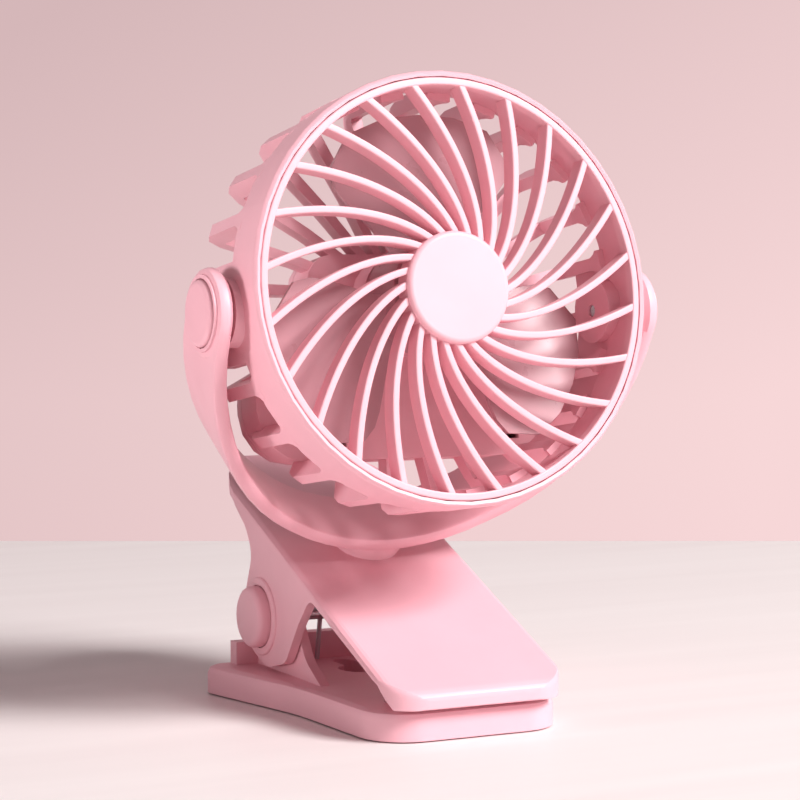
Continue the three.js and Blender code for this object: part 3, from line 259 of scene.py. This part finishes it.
def lens(name, colour):
    """Milky clear plastic."""
    graph = Graph(name)
    graph.colour(graph.noise(scale=200), shade(colour, 0.95), colour)
    graph.gloss(graph.noise(scale=400), low=0.12, high=0.2)
    return graph.set(Transmission_Weight=0.35, IOR=1.49).material


def table_top(name):
    """Pale lacquered board with faint streaks along its length."""
    graph = Graph(name)
    streaks = graph.noise(scale=1, detail=5, roughness=0.6, place=graph.stretched((3, 60, 1)))
    graph.colour(streaks, linear(238, 229, 228), linear(244, 236, 235), start=0.25, end=0.75)
    graph.gloss(streaks, low=0.36, high=0.5)
    return graph.set(Specular_IOR_Level=0.22).material


FINISHES = {                                    # kind, colour and, for some kinds, roughness
    "pink_plastic": (satin_plastic, linear(242, 183, 194), 0.42),
    # the blades' pink, darker than the housing's: painted shade of the drum's inside; their gloss is their own
    "rose_plastic": (satin_plastic, linear(186, 140, 148), 0.3),
    "pale_plastic": (satin_plastic, linear(244, 186, 196), 0.4),
    "grip_rubber": (rubber, linear(214, 132, 148)),
    "steel": (steel, linear(205, 207, 210), 0.28),
    "spring_steel": (steel, linear(206, 208, 212), 0.5),
    "white_nylon": (satin_plastic, linear(238, 236, 232), 0.5),
    "dark_plastic": (satin_plastic, linear(52, 40, 44), 0.5),
    "board": (board, linear(28, 96, 66)),
    "lens": (lens, linear(244, 240, 238)),
    "cell_wrap": (foil, linear(196, 198, 204)),
    "tape": (foam, linear(238, 230, 214)),
    "red_wire": (rubber, linear(186, 44, 48)),
    "black_wire": (rubber, linear(34, 32, 35)),
}
MATERIALS = {name: make(name, *settings) for name, (make, *settings) in FINISHES.items()}
OWN_LOOKS = {"fan_rotor": "rose_plastic"}       # the blades are glossier than the housing, and their deeper colour is painted shade of the drum's inside

# ---------------------------------------------------------------- rounding and shading

BEVELS = {                                      # edge rounding in metres
    "base_plate": 0.0005, "jaw_shell": 0.0005, "yoke": 0.0004, "drum_housing": 0.0004,
    "fan_rotor": 0.0003, "rear_cover": 0.0004, "power_button": 0.0003,
    "tilt_cap_right": 0.0003, "tilt_cap_left": 0.0003,
    "hinge_button_right": 0.0003, "hinge_button_left": 0.0003,
}
BEVEL_SEGMENTS = 2
WELD = 0.000002                                 # corners closer than this are one
ROUND_ABOVE = math.radians(38)                  # sharper edges are rounded
SHARP_ABOVE = math.radians(52)                  # and those sharper still after it stay crisp
CRISP_ABOVE = math.radians(32)                  # crisp edges where nothing is rounded


def finish_node(node, slot):
    """Material, joined corners, rounded edges and smooth shading for one node or piece."""
    node.data.materials.clear()
    node.data.materials.append(MATERIALS[slot])
    for face in node.data.polygons:
        face.use_smooth = True
    weld = node.modifiers.new("weld", "WELD")
    weld.merge_threshold = WELD
    if node.name in BEVELS:
        bevel = node.modifiers.new("bevel", "BEVEL")
        bevel.width = BEVELS[node.name]
        bevel.segments = BEVEL_SEGMENTS
        bevel.limit_method = "ANGLE"
        bevel.angle_limit = ROUND_ABOVE
        bevel.use_clamp_overlap = True
    split = node.modifiers.new("split", "EDGE_SPLIT")
    split.split_angle = SHARP_ABOVE if node.name in BEVELS else CRISP_ABOVE
    level = node.modifiers.new("level", "WEIGHTED_NORMAL")
    level.keep_sharp = True


def finish_nodes():
    """Looks of every node of the frame."""
    for part in frame["record"]["subparts"]:
        name = part["node"]
        finish_node(NODES[name], OWN_LOOKS.get(name, part["material_slot"]))


# ---------------------------------------------------------------- helpers for this scene's own pieces

def turns(steps):
    """Evenly spaced angles of a whole turn."""
    return [math.tau * k / steps for k in range(steps)]


def quarter(middle, radius, start, steps=4):
    """Points of a quarter turn about a middle; the start is an angle in degrees."""
    angles = [math.radians(start + 90 * k / steps) for k in range(steps + 1)]
    return [(middle[0] + radius * math.cos(t), middle[1] + radius * math.sin(t)) for t in angles]


def loft(work, loops, closed=False):
    """Skin through rings of points; an open row of rings is closed by a face at each end."""
    rings = [[work.verts.new(point) for point in loop] for loop in loops]
    following = rings[1:] + rings[:1] if closed else rings[1:]
    for near, far in zip(rings, following):
        for i in range(len(near)):
            j = (i + 1) % len(near)
            work.faces.new((near[i], near[j], far[j], far[i]))
    if not closed:
        work.faces.new(rings[0])
        work.faces.new(rings[-1])


def finished(work, name):
    """The mesh of a finished bmesh, with its faces turned outward."""
    bmesh.ops.recalc_face_normals(work, faces=work.faces)
    mesh = bpy.data.meshes.new(name)
    work.to_mesh(mesh)
    work.free()
    return mesh


def add_piece(name, mesh, slot, body=None, replaced=None):
    """A piece of this scene's own, which may ride on a body and stand for a node of the frame."""
    piece = bpy.data.objects.new(name, mesh)
    bpy.context.scene.collection.objects.link(piece)
    if body:
        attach(piece, body)
    if replaced:
        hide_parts(replaced)
    finish_node(piece, slot)
    return piece


# ---------------------------------------------------------------- upper jaw

PLATE_PITCH = math.radians(23)                  # fall of the jaw's plate toward the lip
PLATE_SLOPE = math.tan(PLATE_PITCH)
PLATE_NORMAL = Vector((0, -math.sin(PLATE_PITCH), math.cos(PLATE_PITCH)))
SAME_WAY = 0.999                                # cosine between directions that count as one
FLAT_WITHIN = math.radians(1)                   # faces that lie in one plane
CORNER_RADIUS = 0.011                           # front corners in plan
SIDE_ROUNDING = 0.002                           # crest along the plate's sides
LIP_ROUNDING = 0.0036                           # crest along the lip
CORNER_GRID = 0.0006                            # spacing of the cuts through a corner
CORNER_TOP_SHARE = 0.3                          # the corners stay under this share of the jaw's top
RIM_SHARE = 0.98                                # share of the radius beyond which a point is on the rim


def slice_box(work, low, high, step):
    """Cut the faces inside a box by planes every step along x, y and z."""
    def inside(face):
        middle = face.calc_center_median()
        return all(low[i] - step < middle[i] < high[i] + step for i in range(3))

    for axis in range(3):
        normal = Vector((0, 0, 0))
        normal[axis] = 1
        for k in range(int((high[axis] - low[axis]) / step) + 1):
            level = low.copy()
            level[axis] += k * step
            faces = [face for face in work.faces if inside(face)]
            edges = dict.fromkeys(edge for face in faces for edge in face.edges)
            corners = dict.fromkeys(vertex for face in faces for vertex in face.verts)
            bmesh.ops.bisect_plane(work, geom=[*faces, *edges, *corners], dist=WELD,
                                   plane_co=level, plane_no=normal)


def round_corner(vertex, middle, plate_height):
    """Bring a vertex of a front corner inside the rounding that is swept round that corner.

    middle is the corner's centre in plan, and plate_height is the height of the plate there.
    """
    out = Vector((abs(vertex.co.x) - middle.x, middle.y - vertex.co.y))
    if min(out) < 0 or out.length < CORNER_RADIUS / 2:
        return
    toward = out.normalized()
    reach = out.length
    if reach > CORNER_RADIUS * RIM_SHARE:
        reach = CORNER_RADIUS
        vertex.co.x = math.copysign(middle.x + toward.x * reach, vertex.co.x)
        vertex.co.y = middle.y - toward.y * reach
    fall = PLATE_SLOPE * toward.y
    rounding = SIDE_ROUNDING + (LIP_ROUNDING - SIDE_ROUNDING) * math.asin(toward.y) / (math.pi / 2)
    centre = CORNER_RADIUS - rounding
    height = plate_height - fall * centre - rounding * math.hypot(1, fall)
    spoke = Vector((reach - centre, vertex.co.z - height))
    if spoke.x > 0 and spoke.y > 0 and spoke.length > rounding:
        spoke = spoke.normalized() * rounding
        reach = centre + spoke.x
        vertex.co.x = math.copysign(middle.x + toward.x * reach, vertex.co.x)
        vertex.co.y = middle.y - toward.y * reach
        vertex.co.z = height + spoke.y


def rounded_jaw():
    """The upper jaw with its lip's and sides' rounding carried round the two front corners."""
    low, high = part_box("upper_jaw")
    mesh = NODES["upper_jaw"].data.copy()
    work = bmesh.new()
    work.from_mesh(mesh)
    bmesh.ops.remove_doubles(work, verts=work.verts, dist=WELD)
    bmesh.ops.dissolve_limit(work, angle_limit=FLAT_WITHIN, verts=work.verts, edges=work.edges)
    plate = max((face for face in work.faces if face.normal.dot(PLATE_NORMAL) > SAME_WAY),
                key=lambda face: face.calc_area())
    on_plate = plate.verts[0].co
    middle = Vector((high.x - CORNER_RADIUS, low.y + CORNER_RADIUS))
    plate_height = on_plate.z + PLATE_SLOPE * (middle.y - on_plate.y)
    top = high.z * CORNER_TOP_SHARE
    for side in (-1, 1):
        near, far = sorted((side * middle.x, side * high.x))
        slice_box(work, Vector((near, low.y, low.z)), Vector((far, middle.y, top)), CORNER_GRID)
    for vertex in work.verts:
        round_corner(vertex, middle, plate_height)
    work.to_mesh(mesh)
    work.free()
    add_piece("jaw_shell", mesh, "pink_plastic", body="clip_jaw", replaced="upper_jaw")


# ---------------------------------------------------------------- grille

SEAM_RADIUS = 0.056                             # rim that holds the grille
FIT = 0.0003                                    # clearance of the grille in that rim
RING_OUTER = SEAM_RADIUS - FIT
RING_WIDTH = 0.002
RING_INNER = RING_OUTER - RING_WIDTH
RING_DEPTH = 0.003
DISC_RADIUS = 0.0149
DISC_PROUD = 0.0014
SPOKES = 24
SPOKE_WIDTH = 0.0019
SPOKE_DEPTH = 0.005
SPOKE_SET = 0.0002                              # spokes behind the ring's face
SPOKE_REFERENCE = 0.0521                        # radius at which the first spoke's turn is stated
SPOKE_TURN = math.radians(8.2)
SPOKE_SWIRL = math.radians(32.2)                # turn per e-fold of radius
SPOKE_STEPS = 26
ROUND = 0.00045                                 # front edges of ring and spokes
RING_STEPS = 192
DISC_EDGE_STEPS = 8
FACE_MIDDLE = Vector(JOINTS["rotor_spin"]["pos_m"])     # the rotor turns about the grille's middle
FACE_AHEAD = Vector(JOINTS["rotor_spin"]["axis"])
FACE_UP = Vector((0, FACE_AHEAD.z, -FACE_AHEAD.y))


def head_point(radius, turn, depth, across=0.0, slant=0.0):
    """Point of the head, from polar coordinates in the grille's face and the depth behind it.

    across is a step to the side of a spoke that leans by slant from its radius.
    """
    outward, along = across * math.sin(slant), across * math.cos(slant)
    x = (radius - outward) * math.cos(turn) - along * math.sin(turn)
    up = (radius - outward) * math.sin(turn) + along * math.cos(turn)
    return FACE_MIDDLE + Vector((x, 0, 0)) - FACE_AHEAD * depth + FACE_UP * up


def circle(radius, depth):
    """Points round the head's axis."""
    return [head_point(radius, turn, depth) for turn in turns(RING_STEPS)]


def bar_section(low, high, depth):
    """Outline of a bar between two sides, with its front edges rounded; points are side and depth."""
    front = quarter((low + ROUND, ROUND), ROUND, 180) + quarter((high - ROUND, ROUND), ROUND, 270)
    return [*front, (high, depth), (low, depth)]


def spoke_loops(number):
    """Sections of one spoke, along a logarithmic spiral from the disc to the ring."""
    start, end = DISC_RADIUS - ROUND, RING_INNER + ROUND
    first_turn = SPOKE_TURN + math.tau * number / SPOKES
    slant = math.atan(SPOKE_SWIRL)
    section = bar_section(-SPOKE_WIDTH / 2, SPOKE_WIDTH / 2, SPOKE_DEPTH)
    loops = []
    for k in range(SPOKE_STEPS + 1):
        radius = start * (end / start) ** (k / SPOKE_STEPS)
        turn = first_turn + SPOKE_SWIRL * math.log(radius / SPOKE_REFERENCE)
        loops.append([head_point(radius, turn, SPOKE_SET + depth, across, slant)
                      for across, depth in section])
    return loops


def swirl_grille():
    """Ring, centre disc and 24 spokes along logarithmic spirals, with rounded front edges."""
    work = bmesh.new()
    ring = bar_section(RING_INNER, RING_OUTER, RING_DEPTH)
    loft(work, [circle(radius, depth) for radius, depth in ring], closed=True)
    disc = quarter((DISC_RADIUS - DISC_PROUD, 0), DISC_PROUD, 270, DISC_EDGE_STEPS)
    disc.append((DISC_RADIUS, SPOKE_DEPTH))
    loft(work, [circle(radius, depth) for radius, depth in disc])
    for number in range(SPOKES):
        loft(work, spoke_loops(number))
    mesh = finished(work, "swirl_grille")
    add_piece("swirl_grille", mesh, "pale_plastic", body="head", replaced="front_grille")


# ---------------------------------------------------------------- hinge collars and spring

HINGE = Vector(JOINTS["jaw"]["pos_m"])          # axis of the clip
COLLAR_INNER = 0.009
COLLAR_OUTER = 0.0111
COLLAR_RISE = 0.0007                            # above the cheek, and the rounding of its outer edge
COLLAR_STEPS = 72
COIL_RADIUS = 0.0041
WIRE_RADIUS = 0.0007
COIL_PITCH = 0.0025                             # along the axis in one turn
COIL_TURNS = 5
COIL_STEPS = 32                                 # per turn
WIRE_SIDES = 12
BASE_LEG = (math.radians(-80), 0.0155)          # direction and length
HANDLE_LEG = (math.radians(75), 0.0293)


def hinge_point(x, radius, turn):
    """A point about the clip's axis."""
    return HINGE + Vector((x, radius * math.cos(turn), radius * math.sin(turn)))


def hinge_collar(name, side):
    """Low ring moulded on the jaw's cheek round its hinge cap; side is 1 for +X and -1 for -X."""
    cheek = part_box("upper_jaw")[1].x
    top = quarter((COLLAR_OUTER - COLLAR_RISE, cheek), COLLAR_RISE, 0)
    profile = [(COLLAR_OUTER, cheek - COLLAR_RISE), *top, (COLLAR_INNER, cheek + COLLAR_RISE),
               (COLLAR_INNER, cheek - COLLAR_RISE)]
    loops = [[hinge_point(side * x, radius, turn) for turn in turns(COLLAR_STEPS)] for radius, x in profile]
    work = bmesh.new()
    loft(work, loops, closed=True)
    add_piece(name, finished(work, name), "pink_plastic", body="clip_jaw")


def leg(direction, length):
    """From the coil to the end of a leg of the spring."""
    return Vector((0, math.cos(direction), math.sin(direction))) * length


def spring_path():
    """Points along the wire: the base's leg, the coil round the pin and the handle's leg."""
    start = BASE_LEG[0] + math.pi / 2
    end = HANDLE_LEG[0] - math.pi / 2 + math.tau * COIL_TURNS
    count = round((end - start) / math.tau * COIL_STEPS)
    coil = []
    for k in range(count + 1):
        turn = start + (end - start) * k / count
        x = COIL_PITCH * (turn - (start + end) / 2) / math.tau
        coil.append(hinge_point(x, COIL_RADIUS, turn))
    first, last = leg(*BASE_LEG), leg(*HANDLE_LEG)
    return [coil[0] + first, coil[0] + first / 2, *coil, coil[-1] + last / 2, coil[-1] + last]


def torsion_spring():
    """The clip's spring, shaped at rest; the real coil winds up as the jaw opens, but this one keeps its shape."""
    path = spring_path()
    loops = []
    for k, point in enumerate(path):
        along = (path[min(k + 1, len(path) - 1)] - path[max(k - 1, 0)]).normalized()
        side = (Vector((1, 0, 0)) - along * along.x).normalized()
        up = along.cross(side)
        loops.append([point + (side * math.cos(turn) + up * math.sin(turn)) * WIRE_RADIUS
                      for turn in turns(WIRE_SIDES)])
    work = bmesh.new()
    loft(work, loops)
    mesh = finished(work, "torsion_spring")
    piece = add_piece("torsion_spring", mesh, "spring_steel", replaced="clip_spring")
    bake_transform(piece)


# ---------------------------------------------------------------- stage

TABLE_REACH = 3.0                               # to either side of the camera
TABLE_EDGE_PIXEL = 541                          # row of the photograph where the table ends


def make_table():
    """A table top that ends behind the fan where the photograph's does."""
    below = math.atan((TABLE_EDGE_PIXEL - IMAGE_SIDE / 2) / FOCAL_PIXELS) + CAMERA_ELEVATION
    edge = CAMERA_AT.z / math.tan(below)
    ahead = -TOWARD_CAMERA
    start = Vector((CAMERA_AT.x, CAMERA_AT.y, 0)) + ahead * edge
    corners = [start - CAMERA_RIGHT * TABLE_REACH, start + CAMERA_RIGHT * TABLE_REACH]
    corners += [corner - ahead * 2 * TABLE_REACH for corner in reversed(corners)]
    mesh = bpy.data.meshes.new("table")
    mesh.from_pydata([tuple(corner) for corner in corners], [], [(3, 2, 1, 0)])
    table = bpy.data.objects.new("table", mesh)
    table.data.materials.append(table_top("table"))
    bpy.context.scene.collection.objects.link(table)


# ---------------------------------------------------------------- world

# painted light and shade of the wall behind the fan
WALL_DARK = linear(213, 183, 185)
WALL_LIGHT = linear(247, 215, 216)
WALL_AHEAD = 0.74                               # place between the two straight ahead of the camera
WALL_ACROSS = 1.7                               # change of that place per unit of direction to the right
WALL_UPWARD = -3.0                              # and upward
ROOM_COLOUR = (1, 0.93, 0.94, 1)                # light that reaches the fan from all round
ROOM_STRENGTH = 0.2


def calculated(tree, operation, *values):
    """Result of a maths node; each value is a number or another node's output."""
    node = tree.nodes.new("ShaderNodeMath")
    node.operation = operation
    for entry, value in zip(node.inputs, values):
        if isinstance(value, bpy.types.NodeSocket):
            tree.links.new(value, entry)
        else:
            entry.default_value = value
    return node.outputs[0]


def wall_colour(tree):
    """A pink wall with painted light and shade: darker upward and brighter to the right."""
    direction = tree.nodes.new("ShaderNodeTexCoord").outputs["Generated"]

    def along(axis):
        dot = tree.nodes.new("ShaderNodeVectorMath")
        dot.operation = "DOT_PRODUCT"
        dot.inputs[1].default_value = axis
        tree.links.new(direction, dot.inputs[0])
        return dot.outputs["Value"]

    height = calculated(tree, "MAXIMUM", along(CAMERA_UP), 0)
    level = calculated(tree, "MULTIPLY_ADD", height, WALL_UPWARD, WALL_AHEAD)
    place = calculated(tree, "ADD", along(CAMERA_RIGHT * WALL_ACROSS), level)
    wall = tree.nodes.new("ShaderNodeValToRGB")
    wall.color_ramp.elements[0].color = WALL_DARK
    wall.color_ramp.elements[1].color = WALL_LIGHT
    tree.links.new(place, wall.inputs["Fac"])
    return wall.outputs["Color"]


def wall_is_seen(tree):
    """1 for a ray from the camera, off a gloss or through clear plastic, and 0 for any other."""
    ray = tree.nodes.new("ShaderNodeLightPath").outputs
    seen = calculated(tree, "MAXIMUM", ray["Is Camera Ray"], ray["Is Glossy Ray"])
    return calculated(tree, "MAXIMUM", seen, ray["Is Transmission Ray"])


def make_world():
    """Faint even light, with a pink wall where the world itself is seen."""
    world = bpy.data.worlds.new("studio")
    bpy.context.scene.world = world
    world.use_nodes = True
    tree = world.node_tree
    tree.nodes.clear()
    link = tree.links.new
    wall = tree.nodes.new("ShaderNodeBackground")
    link(wall_colour(tree), wall.inputs["Color"])
    room = tree.nodes.new("ShaderNodeBackground")
    room.inputs["Color"].default_value = ROOM_COLOUR
    room.inputs["Strength"].default_value = ROOM_STRENGTH
    mix = tree.nodes.new("ShaderNodeMixShader")
    link(wall_is_seen(tree), mix.inputs["Fac"])
    link(room.outputs[0], mix.inputs[1])
    link(wall.outputs[0], mix.inputs[2])
    link(mix.outputs[0], tree.nodes.new("ShaderNodeOutputWorld").inputs["Surface"])


# ---------------------------------------------------------------- lamps

FAN_MIDDLE = Vector((0, -0.02, 0.1))
FILL_RADIUS = 0.08                              # size of a fill lamp, which softens its shadow
FADING_SHARE = 1                                # share of its cone over which it fades out


def lamp(kind, name, direction, distance, target, power, colour):
    """A lamp that shines at a target from a direction: right, up and toward the camera, seen from it."""
    toward = CAMERA_RIGHT * direction[0] + UP * direction[1] + TOWARD_CAMERA * direction[2]
    toward.normalize()
    data = bpy.data.lights.new(name, kind)
    data.energy = power
    data.color = colour
    light = bpy.data.objects.new(name, data)
    light.location = target + toward * distance
    light.rotation_euler = toward.to_track_quat("Z", "Y").to_euler()
    bpy.context.scene.collection.objects.link(light)
    return light


def soft_box(name, size, **place):
    """A square of even light."""
    light = lamp("AREA", name, **place)
    light.data.shape = "SQUARE"
    light.data.size = size


def fill(name, cone, **place):
    """A narrow light with a wide fading edge, which leaves no highlight of its own; cone in degrees."""
    light = lamp("SPOT", name, **place)
    light.data.spot_size = math.radians(cone)
    light.data.spot_blend = FADING_SHARE
    light.data.shadow_soft_size = FILL_RADIUS
    light.visible_glossy = False


def make_lamps():
    """A key lamp above and to the right, a fill for the left arm, and one for the clip's front edges."""
    soft_box("key", size=0.9, direction=(1.0, 0.87, 0.55), distance=2.6, target=FAN_MIDDLE,
             power=103, colour=(1, 0.985, 0.98))
    fill("left", cone=28, direction=(-1.0, -0.05, 0.45), distance=0.6, target=Vector((-0.05, -0.03, 0.13)),
         power=9.5, colour=(1, 0.96, 0.96))
    fill("low", cone=15, direction=(0.6, 0.1, 1.0), distance=0.8, target=Vector((0.01, -0.05, 0.004)),
         power=2.8, colour=(1, 0.98, 0.98))


make_camera()
finish_nodes()
rounded_jaw()
swirl_grille()
hinge_collar("hinge_collar_right", 1)
hinge_collar("hinge_collar_left", -1)
torsion_spring()
make_table()
make_world()
make_lamps()
bpy.context.scene.view_settings.view_transform = "Standard"
